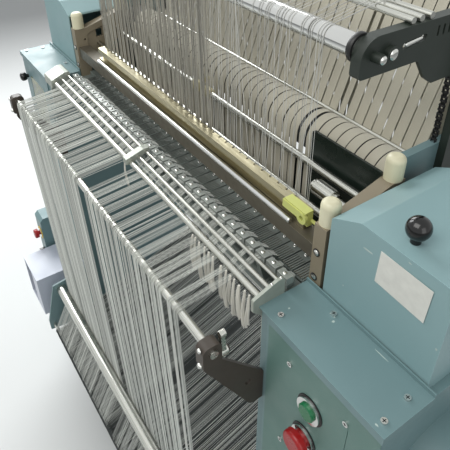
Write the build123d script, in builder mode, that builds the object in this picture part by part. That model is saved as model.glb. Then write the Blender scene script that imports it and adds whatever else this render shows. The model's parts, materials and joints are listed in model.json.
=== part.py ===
"""Crochet knitting machine: two end housings, a needle bed, warp and weft guides, and rollers for the knitted tapes.

Millimetres. X runs along the machine towards the operator's buttons, Y runs from front to back, Z is up from the
floor. The right end is modelled and the left end is its mirror image, except for the panels and the button boxes.
"""

import os
from math import cos, hypot, radians, sin

from build123d import *

os.makedirs("parts", exist_ok=True)

# Driving dimensions of the whole machine
working_width = 762.0
rod_end_reach = 50.0  # how far the left side frame stands outside the working width
housing_width = 206.0
belt_cover_width = 53.0
table_height = 1000.0  # top of the end housing lids
front_y = -128.0  # front faces of the side frames and housings
rear_y = 215.0  # back faces of the housings
lid_back_y = -52.0
hood_height = 148.0
overhead_height = 335.0  # top of the overhead plates above the lids
bracket_reach = 147.0  # how far the lower brackets stand out in front
overhead_back_y = 275.0

# Stock sizes and clearances
plate = 12.0  # side frame casting
sheet = 3.0  # housing sheet metal
panel_sheet = 2.5
seat = 0.3  # gap between pieces that move past each other or only rest
bore_gap = 0.05  # radial gap of a shaft in its bearing
unit_pitch = working_width / 32  # one guide block and one needle lead

right_in = working_width / 2
left_in = -right_in - rod_end_reach
middle_x = (right_in + left_in) / 2
right_out = right_in + housing_width
left_out = 2 * middle_x - right_out
end_plane = Plane.YZ.offset(middle_x)
frame_top = table_height - 6
shelf_z = frame_top - 34  # ledge of each side frame under its lift frame
housing_floor = 80.0
panel_in = right_in + plate + 6
panel_y = front_y - panel_sheet

# Bars and shafts along X: Y and Z of the centre, and the radius
thick_rod = (-128.0, table_height + 8.0, 5.0)
middle_rod = (-112.5, table_height + 14.5, 3.5)
thin_rod = (-98.0, table_height + 20.0, 2.75)
front_bar = (-215.5, table_height - 13.0, 6.0)
lower_bar = (-222.0, 393.0, 13.0)
bottom_rod = (-262.0, 273.0, 5.0)
rear_rod = (190.0, 450.0, 8.0)
swing_shaft = (-64.0, table_height - 54.0, 7.0)
main_shaft = (-15.0, table_height - 150.0, 12.0)
motor_shaft = (-15.0, 460.0, 9.0)
take_down = (51.0, table_height - 118.0, 20.0)
tape_roller_radius = 34.0
tape_roller = (73.0 + tape_roller_radius, table_height + 98.0, tape_roller_radius)
tape_rod = (tape_roller[0] + tape_roller_radius + 7.0, table_height + 114.0, 4.0)
overhead_tube = (-8.0, table_height + 319.0, 13.5)
journal = 8.0  # radius of the rollers' end journals

# Ends of the bars in front of the frames
front_bar_half = right_in + 21
lower_bar_half = right_in + 24

# Weft lift
lift_travel = 8.0
lift_width = 21.0
lift_front = (-50.0, -22.0)
lift_rear = (62.0, 86.0)
lift_foot = shelf_z + lift_travel + 6
lift_top_front = table_height + 100.0
lift_top_rear = table_height + 124.0
post_x = right_in + 10.5
post_front_y = -39.0
post_rear_y = 74.0
post_radius = 5.0
beam_bottom = table_height + 34.0
beam_top = beam_bottom + 24.0
stem_at = (-28.0, beam_top + 15.0, 2.5)
tie_rods = ((52.0, table_height + 82.0, 6.0), (6.0, table_height + 56.0, 6.0))

# Knitted tapes
tape_count = 40
tape_pitch = (working_width - 14) / tape_count
tape_width = 16.0
tape_thickness = 1.6
tape_lean = 20.0  # degrees back from vertical, between the tape rod and the upper roller
tape_offset = seat + tape_thickness / 2
upper_radius = 16.0
upper_z = table_height + 308.0
upper_shift = upper_radius + tape_rod[2] + 2 * tape_offset + (upper_z - tape_rod[1]) * sin(radians(tape_lean))
upper_y = tape_rod[0] + upper_shift / cos(radians(tape_lean))

# Buttons
start_at = (right_in + 105.0, table_height - 91.0)
stop_at = (right_in + 101.0, table_height - 158.0)
button_radius = 13.0
button_travel = 4.0
ring_height = 5.0
box_front = -200.0
side_button_at = (left_out + 26.0, 436.0)
side_knob_at = (left_out + 26.0, 362.0)


def slab(x0, x1, y0, y1, z0, z1, mode=Mode.ADD):
    """A rectangular block between two corners."""
    with BuildSketch(Plane.XY.offset(z0)) as outline:
        with Locations(((x0 + x1) / 2, (y0 + y1) / 2)):
            Rectangle(x1 - x0, y1 - y0)
    extrude(outline.sketch, amount=z1 - z0, mode=mode)


def row(xs, width, y0, y1, z0, z1, mode=Mode.ADD):
    """Equal blocks in a row along X, made in one operation."""
    with BuildSketch(Plane.XY.offset(z0)) as outline:
        with Locations(*[(x, (y0 + y1) / 2) for x in xs]):
            Rectangle(width, y1 - y0)
    extrude(outline.sketch, amount=z1 - z0, mode=mode)


def rod_x(x0, x1, y, z, radius, mode=Mode.ADD):
    """A round bar along X."""
    with BuildSketch(Plane.YZ.offset(x0)) as outline:
        with Locations((y, z)):
            Circle(radius)
    extrude(outline.sketch, amount=x1 - x0, mode=mode)


def rod_y(y0, y1, x, z, radius, mode=Mode.ADD):
    """A round bar along Y."""
    with BuildSketch(Plane.XZ.offset(-y1)) as outline:
        with Locations((x, z)):
            Circle(radius)
    extrude(outline.sketch, amount=y1 - y0, mode=mode)


def rod_z(z0, z1, x, y, radius, mode=Mode.ADD):
    """An upright round bar."""
    with BuildSketch(Plane.XY.offset(z0)) as outline:
        with Locations((x, y)):
            Circle(radius)
    extrude(outline.sketch, amount=z1 - z0, mode=mode)


def plate_x(points, x0, x1, mode=Mode.ADD):
    """A plate whose outline is given in Y and Z and whose thickness is along X."""
    with BuildSketch(Plane.YZ.offset(x0)) as outline:
        with BuildLine():
            Polyline(*points, close=True)
        make_face()
    extrude(outline.sketch, amount=x1 - x0, mode=mode)


def plate_y(points, y0, y1, mode=Mode.ADD):
    """A plate whose outline is given in X and Z and whose thickness is along Y."""
    with BuildSketch(Plane.XZ.offset(-y1)) as outline:
        with BuildLine():
            Polyline(*points, close=True)
        make_face()
    extrude(outline.sketch, amount=y1 - y0, mode=mode)


def rounded_plate(points, corners, x0, x1, mode=Mode.ADD):
    """A plate_x whose corners, given as (Y, Z, radius), are rounded."""
    with BuildSketch(Plane.YZ.offset(x0)) as outline:
        with BuildLine():
            Polyline(*points, close=True)
        make_face()
        for y, z, radius in corners:
            fillet(outline.vertices().sort_by_distance((y, z, 0))[0], radius=radius)
    extrude(outline.sketch, amount=x1 - x0, mode=mode)


def slot_x(x0, x1, y, z, length, width, turn=0, mode=Mode.SUBTRACT):
    """A round-ended slot through a plate that stands across X."""
    with BuildSketch(Plane.YZ.offset(x0)) as outline:
        with Locations((y, z)):
            SlotOverall(length, width, rotation=turn)
    extrude(outline.sketch, amount=x1 - x0, mode=mode)


def ribbon(points, thickness, x0, x1):
    """A thin sheet, wide along X, that follows a line given in Y and Z."""
    upper = []
    lower = []
    for i, (y, z) in enumerate(points):
        y0, z0 = points[max(i - 1, 0)]
        y1, z1 = points[min(i + 1, len(points) - 1)]
        scale = thickness / 2 / hypot(y1 - y0, z1 - z0)
        upper.append((y - (z1 - z0) * scale, z + (y1 - y0) * scale))
        lower.append((y + (z1 - z0) * scale, z - (y1 - y0) * scale))
    plate_x(upper + lower[::-1], x0, x1)


def wrap(y, z, radius, start, stop, count):
    """Corners of a line in Y and Z bent round a circle, between two angles measured from the back."""
    step = (stop - start) / count
    reach = radius / cos(radians(step / 2))
    angles = [radians(start + (i + 0.5) * step) for i in range(count)]
    return [(y + reach * cos(a), z + reach * sin(a)) for a in angles]


def copy_to_left(piece):
    """The left-hand twin of a right-hand piece, added to the part being built."""
    mirror(piece.part, about=end_plane)


def finish(piece, name):
    """Labels a finished piece and writes it."""
    piece.part.label = name
    export_step(piece.part, f"parts/{name}.step")


# Side frames: plates that carry every bar and shaft between the two ends
frame_outline = [
    (front_y, 60),
    (rear_y - 5, 60),
    (rear_y - 5, table_height + 6),
    (180, table_height + 60),
    (180, table_height + 150),
    (92, table_height + 150),
    (92, shelf_z),
    (lid_back_y, shelf_z),
    (lid_back_y, frame_top),
    (front_y, frame_top),
]
with BuildPart() as right_side_frame:
    plate_x(frame_outline, right_in, right_in + plate)
    slab(right_in + plate, right_in + lift_width, lift_front[0], lift_rear[1], shelf_z - 12, shelf_z)
    for y, z, radius in (swing_shaft, main_shaft):
        rod_x(right_in, right_in + plate, y, z, radius + bore_gap, mode=Mode.SUBTRACT)
    for y, z, radius in (take_down, tape_roller):
        rod_x(right_in, right_in + plate, y, z, journal + bore_gap, mode=Mode.SUBTRACT)
finish(right_side_frame, "right_side_frame")

with BuildPart() as left_side_frame:
    copy_to_left(right_side_frame)
finish(left_side_frame, "left_side_frame")

# Hood hinges: two barrels at the back of each hood, on pins held by the housing
hinge_at = (141.5, table_height - 0.7)
hinge_radius = 5.0
hinge_xs = (right_in + 42, right_in + 121)
hinge_leaf = 20.0

# Housing shells: folded sheet, open under the front panel, the lid and the hood
shell_in = right_in + plate
deck_z = shelf_z - 12
with BuildPart() as housing_shell:
    slab(shell_in, right_out, front_y, rear_y, housing_floor, frame_top)
    slab(
        shell_in, right_out - sheet, front_y + sheet, rear_y - sheet,
        housing_floor + sheet, frame_top, mode=Mode.SUBTRACT,
    )
    slab(
        shell_in + 15, right_out - 15, front_y, front_y + sheet,
        housing_floor + 20, frame_top - 15, mode=Mode.SUBTRACT,
    )
    slab(shell_in, right_out, 138, rear_y, frame_top - sheet, frame_top)
    slab(right_in + lift_width + 3, right_out, lid_back_y + 3, 140, deck_z - sheet, deck_z)
    slab(right_in + lift_width + 3, right_out, lid_back_y, lid_back_y + 12, deck_z, frame_top)
    slab(right_out - 14, right_out, lid_back_y, 140, frame_top - sheet, frame_top)
    slab(shell_in, shell_in + 14, 156, 202, frame_top - sheet, frame_top, mode=Mode.SUBTRACT)
    for x in hinge_xs:
        for barrel in (x, x + 2 * hinge_leaf):
            rod_x(barrel, barrel + hinge_leaf, *hinge_at, hinge_radius)
            slab(barrel, barrel + hinge_leaf, hinge_at[0] - 3, hinge_at[0] + 3, frame_top - 1, hinge_at[1])
        rod_x(x, x + 3 * hinge_leaf, *hinge_at, 2)

with BuildPart() as right_housing:
    add(housing_shell.part)
    rod_x(right_out - sheet, right_out, main_shaft[0], main_shaft[1], main_shaft[2] + 4, mode=Mode.SUBTRACT)
    rod_x(right_out - sheet, right_out, motor_shaft[0], motor_shaft[1], motor_shaft[2] + 5, mode=Mode.SUBTRACT)
finish(right_housing, "right_housing")

with BuildPart() as left_housing:
    copy_to_left(housing_shell)
finish(left_housing, "left_housing")

# Front panels, screwed over the housings' front openings; a seam parts off the wiring door on the right one
door_x = right_in + 163.5
door_top = table_height - 51
with BuildPart() as right_front_panel:
    slab(panel_in, right_out, panel_y, front_y, housing_floor + 4, frame_top)
    slab(door_x, door_x + 1, panel_y, panel_y + 1, housing_floor + 4, door_top, mode=Mode.SUBTRACT)
    for x, z in (start_at, stop_at):
        rod_y(panel_y, front_y, x, z, button_radius + 0.5, mode=Mode.SUBTRACT)
finish(right_front_panel, "right_front_panel")

window_left = left_out + 40
window_right = left_out + 146
with BuildPart() as left_front_panel:
    slab(left_out, 2 * middle_x - panel_in, panel_y, front_y, housing_floor + 4, frame_top)
    slab(
        window_left, window_right, panel_y, front_y,
        table_height - 190, table_height - 52, mode=Mode.SUBTRACT,
    )
    fillet(
        left_front_panel.edges().filter_by(Axis.Y).filter_by_position(Axis.X, window_left - 1, window_right + 1),
        radius=14,
    )
finish(left_front_panel, "left_front_panel")

# Lids: shallow folded covers over the front of each housing
lid_front = panel_y - 3
lid_right = right_out + 3
with BuildPart() as lids:
    slab(right_in, lid_right, lid_front, lid_back_y, table_height - 2, table_height)
    slab(panel_in, lid_right, lid_front, lid_front + 2, table_height - 12, table_height - 2)
    slab(right_out + 1, lid_right, lid_front, lid_back_y, table_height - 12, table_height - 2)
    slab(right_in, lid_right, lid_back_y - 2, lid_back_y, table_height, table_height + 6)
    slab(right_in, right_in + plate, front_y, lid_back_y, frame_top, table_height - 2)
    mirror(about=end_plane)
finish(lids, "lids")

# Hoods over the lift drives: bevelled covers, open below and towards the working zone
hood_left = right_in + 27
hood_bevel = 44.0
hood_right = right_out - 10
hood_front = lid_back_y + 2
hood_back = 136.0
hood_foot = frame_top + seat
hood_top = table_height + hood_height
hood_wall = 2.5
hood_profile = [
    (hood_left, hood_foot),
    (hood_left, hood_top - 22),
    (hood_left + hood_bevel, hood_top),
    (hood_right, hood_top),
    (hood_right, hood_foot),
]
hood_inside = [
    (hood_left, hood_foot),
    (hood_left, hood_top - 22 - hood_wall),
    (hood_left + hood_bevel, hood_top - hood_wall),
    (hood_right - hood_wall, hood_top - hood_wall),
    (hood_right - hood_wall, hood_foot),
]


def bent_sheet(points, radius, y0, y1, mode=Mode.ADD):
    """A hood profile whose upper corners are bent to a radius."""
    with BuildSketch(Plane.XZ.offset(-y1)) as outline:
        with BuildLine():
            Polyline(*points, close=True)
        make_face()
        fillet(outline.vertices().sort_by(Axis.Y)[2:], radius=radius)
    extrude(outline.sketch, amount=y1 - y0, mode=mode)


with BuildPart() as right_hood:
    bent_sheet(hood_profile, 4, hood_front, hood_back)
    bent_sheet(hood_inside, 1.5, hood_front + hood_wall, hood_back - hood_wall, mode=Mode.SUBTRACT)
    for x in hinge_xs:
        barrel = (x + hinge_leaf + seat, x + 2 * hinge_leaf - seat)
        rod_x(*barrel, *hinge_at, hinge_radius)
        slab(*barrel, hood_back - 1, hinge_at[0], hinge_at[1] + 1, hinge_at[1] + hinge_radius)
        rod_x(*barrel, *hinge_at, 2 + bore_gap, mode=Mode.SUBTRACT)
finish(right_hood, "right_hood")

with BuildPart() as left_hood:
    copy_to_left(right_hood)
finish(left_hood, "left_hood")

# Ball knobs by which the hoods are lifted
knob_x = right_in + 124
knob_y = hood_front + 25
knob_radius = 14.0
with BuildPart() as right_hood_knob:
    rod_z(hood_top, hood_top + 12, knob_x, knob_y, 6)
    with Locations((knob_x, knob_y, hood_top + 5 + knob_radius)):
        Sphere(knob_radius)
finish(right_hood_knob, "right_hood_knob")

with BuildPart() as left_hood_knob:
    copy_to_left(right_hood_knob)
finish(left_hood_knob, "left_hood_knob")

# Cover screws: pan heads on the lids and the front panels
lid_screws = [
    (right_in + 27, front_y + 8),
    (right_in + 63, lid_back_y - 12),
    (right_out - 10, front_y + 9),
    (right_out - 14, lid_back_y - 26),
]
panel_screws = [
    (right_in + 63, table_height - 47),
    (right_in + 160, table_height - 43),
    (right_in + 58, table_height - 226),
    (right_out - 20, 620),
]
screw_radius = 4.0
screw_height = 2.5
with BuildPart() as cover_screws:
    for x, y in lid_screws:
        rod_z(table_height, table_height + screw_height, x, y, screw_radius)
        rod_z(table_height, table_height + screw_height, 2 * middle_x - x, y, screw_radius)
    for x, z in panel_screws:
        rod_y(panel_y - screw_height, panel_y, x, z, screw_radius)
finish(cover_screws, "cover_screws")

# Belt cover on the outside of the right housing
belt_middle = (main_shaft[1] + motor_shaft[1]) / 2
belt_length = main_shaft[1] - motor_shaft[1]
cover_height = 150.0
with BuildPart() as belt_cover:
    with BuildSketch(Plane.YZ.offset(right_out)):
        with Locations((main_shaft[0], belt_middle)):
            SlotCenterToCenter(belt_length, cover_height, rotation=90)
    extrude(amount=belt_cover_width)
    fillet(belt_cover.faces().sort_by(Axis.X)[-1].edges(), radius=5)
    with BuildSketch(Plane.YZ.offset(right_out)):
        with Locations((main_shaft[0], belt_middle)):
            SlotCenterToCenter(belt_length, cover_height - 2 * panel_sheet, rotation=90)
    extrude(amount=belt_cover_width - panel_sheet, mode=Mode.SUBTRACT)
finish(belt_cover, "belt_cover")

# Button rings on the right panel and on the side box
with BuildPart() as button_rings:
    for x, z in (start_at, stop_at):
        rod_y(panel_y - ring_height, panel_y, x, z, button_radius + 6.5)
        rod_y(panel_y - ring_height, panel_y, x, z, button_radius + bore_gap, mode=Mode.SUBTRACT)
    rod_y(box_front - 3, box_front, side_button_at[0], side_button_at[1], 15)
    rod_y(box_front - 3, box_front, side_button_at[0], side_button_at[1], 7 + bore_gap, mode=Mode.SUBTRACT)
finish(button_rings, "button_rings")

# Push buttons
with BuildPart() as start_button:
    rod_y(panel_y - ring_height - button_travel, front_y + 6, start_at[0], start_at[1], button_radius)
    chamfer(start_button.faces().sort_by(Axis.Y)[0].edges(), length=1.2)
finish(start_button, "start_button")

with BuildPart() as stop_button:
    rod_y(panel_y - ring_height - button_travel - 2, front_y + 6, stop_at[0], stop_at[1], button_radius)
    rod_y(panel_y - 22, panel_y - ring_height - button_travel - 2, stop_at[0], stop_at[1], 20)
    fillet(stop_button.faces().sort_by(Axis.Y)[0].edges(), radius=5)
finish(stop_button, "stop_button")

# Front guide bar that the warp threads bend over
with BuildPart() as front_guide_bar:
    rod_x(-front_bar_half, front_bar_half, *front_bar)
finish(front_guide_bar, "front_guide_bar")

# Arms that hold the front bar, with a clamp at the tip of each arm
arm_outline = [
    (front_bar[0] - 7, front_bar[1] - 25),
    (front_bar[0] + 10, front_bar[1] - 25),
    (front_y, table_height - 128),
    (front_y, table_height - 188),
    (front_y - 22, table_height - 188),
    (front_bar[0] - 7, front_bar[1] - 42),
]
lever_at = (front_bar_half - 12, front_bar[1] - 17)
clamp_back = front_bar[0] + 13.5
clamp_outline = [
    (front_bar[0] - 14, front_bar[1] - 27),
    (clamp_back, front_bar[1] - 27),
    (clamp_back, front_bar[1] + 12),
    (front_bar[0] - 14, front_bar[1] + 12),
]
clamp_corners = [
    (front_bar[0] - 14, front_bar[1] + 12, 10),
    (clamp_back, front_bar[1] + 12, 10),
    (front_bar[0] - 14, front_bar[1] - 27, 4),
]
arm_corners = [
    (front_bar[0] - 7, front_bar[1] - 42, 8),
    (front_y - 22, table_height - 188, 12),
]
with BuildPart() as front_bar_arms:
    rounded_plate(arm_outline, arm_corners, right_in + 3, right_in + 9)
    rounded_plate(clamp_outline, clamp_corners, right_in, front_bar_half - 4)
    rounded_plate(arm_outline, arm_corners, -front_bar_half + 1, -front_bar_half + 7)
    rounded_plate(clamp_outline, clamp_corners, -front_bar_half + 1, -front_bar_half + 17)
    slab(left_in - 9, -front_bar_half + 7, front_y - 6, front_y, table_height - 188, table_height - 128)
    rod_x(-front_bar_half, front_bar_half, front_bar[0], front_bar[1], front_bar[2] + bore_gap, mode=Mode.SUBTRACT)
    rod_x(right_in, right_in + 12, -155, table_height - 131, 5, mode=Mode.SUBTRACT)
    rod_y(clamp_back, clamp_back + 14, *lever_at, 3)
    rod_y(clamp_back + 11, clamp_back + 14, *lever_at, 5)
finish(front_bar_arms, "front_bar_arms")

# Clamp lever on the pin behind the right clamp
with BuildPart() as clamp_lever:
    rod_y(clamp_back + seat, clamp_back + 11 - seat, *lever_at, 8)
    plate_y(
        [
            (lever_at[0] - 6, lever_at[1] + 4),
            (lever_at[0] + 6, lever_at[1] + 4),
            (lever_at[0] + 2.5, lever_at[1] + 32),
            (lever_at[0] - 2.5, lever_at[1] + 32),
        ],
        clamp_back + 2,
        clamp_back + 8,
    )
    rod_y(clamp_back + 1, clamp_back + 9, lever_at[0], lever_at[1] + 32, 5)
    rod_y(clamp_back, clamp_back + 12, *lever_at, 3 + bore_gap, mode=Mode.SUBTRACT)
finish(clamp_lever, "clamp_lever")

# Lower guide bar and the thread rods below and behind it
with BuildPart() as lower_guide_bar:
    rod_x(-lower_bar_half, lower_bar_half, *lower_bar)
finish(lower_guide_bar, "lower_guide_bar")

bracket_front = front_y - bracket_reach
bracket_outline = [
    (front_y, 430),
    (front_y, 240),
    (bracket_front, 255),
    (bracket_front, 290),
    (lower_bar[0] - 20, 412),
]
with BuildPart() as lower_bar_brackets:
    plate_x(bracket_outline, right_in + 3, right_in + 9)
    plate_x(bracket_outline, -lower_bar_half + 3, -lower_bar_half + 9)
    slab(left_in - 9, -lower_bar_half + 9, front_y - 6, front_y, 240, 430)
    for y, z, radius in (lower_bar, bottom_rod):
        rod_x(-lower_bar_half, lower_bar_half, y, z, radius + bore_gap, mode=Mode.SUBTRACT)
finish(lower_bar_brackets, "lower_bar_brackets")

with BuildPart() as yarn_guide_rods:
    rod_x(-lower_bar_half, lower_bar_half, *bottom_rod)
    rod_x(left_in, right_in, *rear_rod)
finish(yarn_guide_rods, "yarn_guide_rods")

# Three warp rods over the sheet of warp threads
rod_left = -right_in - 2
rod_right = right_in - 5
with BuildPart() as warp_rods:
    for rod in (thick_rod, middle_rod, thin_rod):
        rod_x(rod_left, rod_right, *rod)
finish(warp_rods, "warp_rods")

right_end_outline = [
    (-125, table_height - 80),
    (-92, table_height - 80),
    (-92, table_height + 28),
    (-104, table_height + 28),
    (-143, table_height + 14),
    (-143, table_height - 6),
    (-125, table_height - 24),
]
left_end_outline = [
    (-137, table_height - 3),
    (-92, table_height - 3),
    (-92, table_height + 28),
    (-104, table_height + 28),
    (-137, table_height + 15),
]
with BuildPart() as rod_end_plates:
    rounded_plate(right_end_outline, [(-143, table_height + 14, 4), (-92, table_height + 28, 4)], rod_right, right_in)
    rounded_plate(left_end_outline, [(-137, table_height + 15, 4), (-92, table_height + 28, 4)], left_in, rod_left)
    slab(left_in, left_in + 6, -128, -92, table_height - 60, table_height - 3)
finish(rod_end_plates, "rod_end_plates")

with BuildPart() as centre_bracket:
    plate_x(
        [
            (-137, thick_rod[1] - 2.5),
            (-122, thick_rod[1] + 0.5),
            (-91, thin_rod[1] + 1),
            (-91, thin_rod[1] + 7),
            (-103, thin_rod[1] + 7),
            (-137, thick_rod[1] + 9),
        ],
        -12,
        2,
    )
    for y, z, radius in (thick_rod, middle_rod, thin_rod):
        rod_x(-12, 2, y, z, radius + bore_gap, mode=Mode.SUBTRACT)
finish(centre_bracket, "centre_bracket")

# Needle bed and the rails that tie the two ends together
bed_front = -54.0
bed_back = 24.0
bed_top = table_height - 15
with BuildPart() as needle_bed:
    slab(left_in, right_in, bed_front, bed_back, table_height - 100, bed_top)
    slab(left_in, right_in, bed_front + 14, bed_back - 14, table_height - 100, bed_top - 22, mode=Mode.SUBTRACT)
finish(needle_bed, "needle_bed")

with BuildPart() as cross_rails:
    slab(left_in, right_in, -100, -60, 180, 240)
    slab(left_in, right_in, 150, 190, 120, 180)
    slab(left_in, right_in, 150, 190, table_height - 160, table_height - 100)
finish(cross_rails, "cross_rails")

# Warp guide bar on its swinging arms
guide_bar_y = (-84.0, -70.0)
guide_bar_z = (table_height - 4, table_height + 8)
bar_left = -right_in
bar_right = right_in - 5
arm_top = guide_bar_z[0] - seat
swing_outline = [
    (swing_shaft[0] - 7, swing_shaft[1]),
    (swing_shaft[0] + 7, swing_shaft[1]),
    (-68, arm_top),
    (guide_bar_y[0], arm_top),
]
with BuildPart() as swing_shaft_arms:
    rod_x(left_in - plate, right_in + plate, *swing_shaft)
    for x in (-360, middle_x, 310):
        rod_x(x - 8, x + 8, swing_shaft[0], swing_shaft[1], swing_shaft[2] + 2.5)
        plate_x(swing_outline, x - 5, x + 5)
finish(swing_shaft_arms, "swing_shaft")

with BuildPart() as warp_guide_bar:
    slab(bar_left, bar_right, *guide_bar_y, *guide_bar_z)
finish(warp_guide_bar, "warp_guide_bar")

# Guide blocks: toothed plates with a yarn passage under a clamp strip, one for each unit
block_half = unit_pitch / 2 - 2
block_top = guide_bar_z[1] + 9
block_outline = [
    (-block_half, guide_bar_y[0] - 4),
    (block_half, guide_bar_y[0] - 4),
    (block_half, guide_bar_y[1] - 6),
    (block_half - 4, guide_bar_y[1]),
    (-1.5, guide_bar_y[1]),
    (-4, guide_bar_y[1] - 4),
    (-block_half, guide_bar_y[1] - 4),
]
unit_xs = [-right_in + (i + 0.5) * unit_pitch for i in range(32)]
with BuildPart() as guide_blocks:
    with BuildSketch(Plane.XY.offset(guide_bar_z[1])):
        with Locations(*[(x, 0) for x in unit_xs]):
            Polygon(*block_outline, align=(Align.NONE, Align.NONE))
    extrude(amount=block_top - guide_bar_z[1])
    row(unit_xs, 16, guide_bar_y[0] - 6, guide_bar_y[1] + 2, block_top - 2, block_top, mode=Mode.SUBTRACT)
    row(unit_xs, 2 * block_half, guide_bar_y[0] - 4, guide_bar_y[0] + 7, block_top, block_top + 3)
finish(guide_blocks, "guide_blocks")

# Needle bar with its needle plates
needle_z = bed_top + seat
with BuildPart() as needle_bar:
    slab(left_in + 6, right_in - 6, -30, 0, needle_z, table_height - 4)
finish(needle_bar, "needle_bar")

# Needle plates: combs whose slits guide the needles
plate_half = unit_pitch / 2 - 1.5
slit_pitch = 4.0
slit_half = 0.6
comb_outline = [(plate_half, -58), (plate_half, -16), (-plate_half, -16), (-plate_half, -58)]
for i in range(-2, 3):
    slit = i * slit_pitch
    comb_outline += [
        (slit - slit_half, -58),
        (slit - slit_half, -38),
        (slit + slit_half, -38),
        (slit + slit_half, -58),
    ]
with BuildPart() as needle_plates:
    with BuildSketch(Plane.XY.offset(table_height - 4)):
        with Locations(*[(x, 0) for x in unit_xs]):
            Polygon(*comb_outline, align=(Align.NONE, Align.NONE))
    extrude(amount=5)
finish(needle_plates, "needle_plates")

# Lift frames at both ends of the weft beam, on fixed posts: two legs under a sloping rail
lift_outline = [
    (lift_front[0], lift_foot),
    (lift_front[1], lift_foot),
    (lift_front[1], lift_top_front - 14),
    (lift_rear[0], lift_top_rear - 14),
    (lift_rear[0], lift_foot),
    (lift_rear[1], lift_foot),
    (lift_rear[1], lift_top_rear),
    (lift_rear[0], lift_top_rear),
    (lift_front[1], lift_top_front),
    (lift_front[0], lift_top_front),
]
lift_corners = [
    (lift_front[0], lift_foot, 8),
    (lift_front[1], lift_top_front - 14, 5),
    (lift_rear[0], lift_top_rear - 14, 5),
    (lift_rear[1], lift_foot, 8),
]
with BuildPart() as lift_frames:
    rounded_plate(lift_outline, lift_corners, right_in, right_in + lift_width)
    plate_x(
        [
            (lift_front[1], beam_bottom + 2),
            (lift_front[1], lift_top_front - 14),
            (lift_rear[0], lift_top_rear - 14),
            (lift_rear[0], table_height + 62),
            (20, beam_bottom + 2),
        ],
        right_in + 3,
        right_in + 9,
    )
    slab(right_in + 3, right_in + 9, 1, 17, beam_bottom + 38, beam_bottom + 57, mode=Mode.SUBTRACT)
    rod_z(lift_foot, lift_top_front - 6, post_x, post_front_y, post_radius + bore_gap, mode=Mode.SUBTRACT)
    rod_z(lift_foot, lift_top_rear - 6, post_x, post_rear_y, post_radius + bore_gap, mode=Mode.SUBTRACT)
    rod_x(right_in, right_in + lift_width, *stem_at[:2], stem_at[2] + bore_gap, mode=Mode.SUBTRACT)
    mirror(about=end_plane)
finish(lift_frames, "lift_frames")

cap_radius = 13.0
with BuildPart() as lift_caps:
    for y, z in ((post_front_y + 3, lift_top_front), (post_rear_y, lift_top_rear)):
        rod_z(z, z + 36, post_x, y, cap_radius)
    for z in (lift_top_front + 36, lift_top_rear + 36):
        fillet(lift_caps.edges().filter_by(GeomType.CIRCLE).filter_by_position(Axis.Z, z - 1, z + 1), radius=8)
    mirror(about=end_plane)
finish(lift_caps, "lift_caps")

with BuildPart() as lift_posts:
    for y, z in ((post_front_y, lift_top_front), (post_rear_y, lift_top_rear)):
        rod_z(shelf_z, z - 16, post_x, y, post_radius)
    mirror(about=end_plane)
finish(lift_posts, "lift_posts")

with BuildPart() as lift_tie_rods:
    for y, z, radius in tie_rods:
        rod_x(left_in - 3, right_in + 3, y, z, radius)
    rod_x(right_in - 79, right_in + 3, 28, table_height + 74, 5)
    for x in (right_in - 85, right_in - 44):
        rod_x(x, x + 6, 28, table_height + 74, 9)
    rod_x(right_in - 79, right_in - 44, 28, table_height + 74, 12)
finish(lift_tie_rods, "lift_tie_rods")

# Weft beam, the bright bar on its front edge, and the weft track that is moved to and fro on it
with BuildPart() as weft_beam:
    slab(left_in, right_in, -46, -20, beam_bottom, beam_top)
finish(weft_beam, "weft_beam")

with BuildPart() as weft_front_bar:
    rod_x(-320, right_in - 52, -43.5, beam_top + 4.5 + seat, 4.5)
    fillet(weft_front_bar.edges().filter_by(GeomType.CIRCLE), radius=2)
finish(weft_front_bar, "weft_front_bar")

weft_pitch = 18.7
weft_units = 35
track_y = (-37.0, -22.0)
track_x = (-right_in + 50, right_in - 33)
track_top = beam_top + 30
with BuildPart() as weft_track:
    slab(*track_x, *track_y, beam_top + seat, track_top)
    slab(*track_x, track_y[0], track_y[0] + 9, beam_top + 7, track_top - 10, mode=Mode.SUBTRACT)
    notch_xs = [track_x[0] + 10 + i * weft_pitch for i in range(weft_units)]
    row(notch_xs, 4, track_y[1] - 4, track_y[1], track_top - 4, track_top, mode=Mode.SUBTRACT)
finish(weft_track, "weft_track")

slider_z = track_top - 9
with BuildPart() as weft_slider:
    slab(right_in - 72, right_in - 34, track_y[0] - 5, track_y[0], slider_z - 3, slider_z + 9)
    rod_y(track_y[0] - 5, track_y[0], right_in - 34, slider_z, 9)
    rod_y(track_y[0] - 5, track_y[0], right_in - 34, slider_z, 4, mode=Mode.SUBTRACT)
    slab(right_in - 70, right_in - 27, track_y[0] - 4, track_y[1] - 5, track_top, track_top + 2.5)
    slab(track_x[1], right_in - 27, track_y[0] + 1, track_y[1] - 5, slider_z - 13, track_top + 2.5)
    rod_x(right_in - 28, right_in + 9, *stem_at)
finish(weft_slider, "weft_slider")

# Green cover behind the weft guides
cover_y = (62.0, 66.0)
with BuildPart() as rear_cover:
    slab(left_in, right_in, *cover_y, table_height - 60, shelf_z)
    slab(left_in + 2, right_in - 2, *cover_y, shelf_z, table_height + 131)
finish(rear_cover, "rear_cover")


def roller(y, z, radius):
    """A roller between the side frames with a journal at each end."""
    rod_x(left_in + 6, right_in - 6, y, z, radius)
    rod_x(left_in - plate, right_in + plate, y, z, journal)


# Rollers and the rod for the knitted tapes
with BuildPart() as big_tape_roller:
    roller(*tape_roller)
finish(big_tape_roller, "tape_roller")

with BuildPart() as take_down_roller:
    roller(*take_down)
finish(take_down_roller, "take_down_roller")

with BuildPart() as upper_roller:
    roller(upper_y, upper_z, upper_radius)
finish(upper_roller, "upper_roller")

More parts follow.
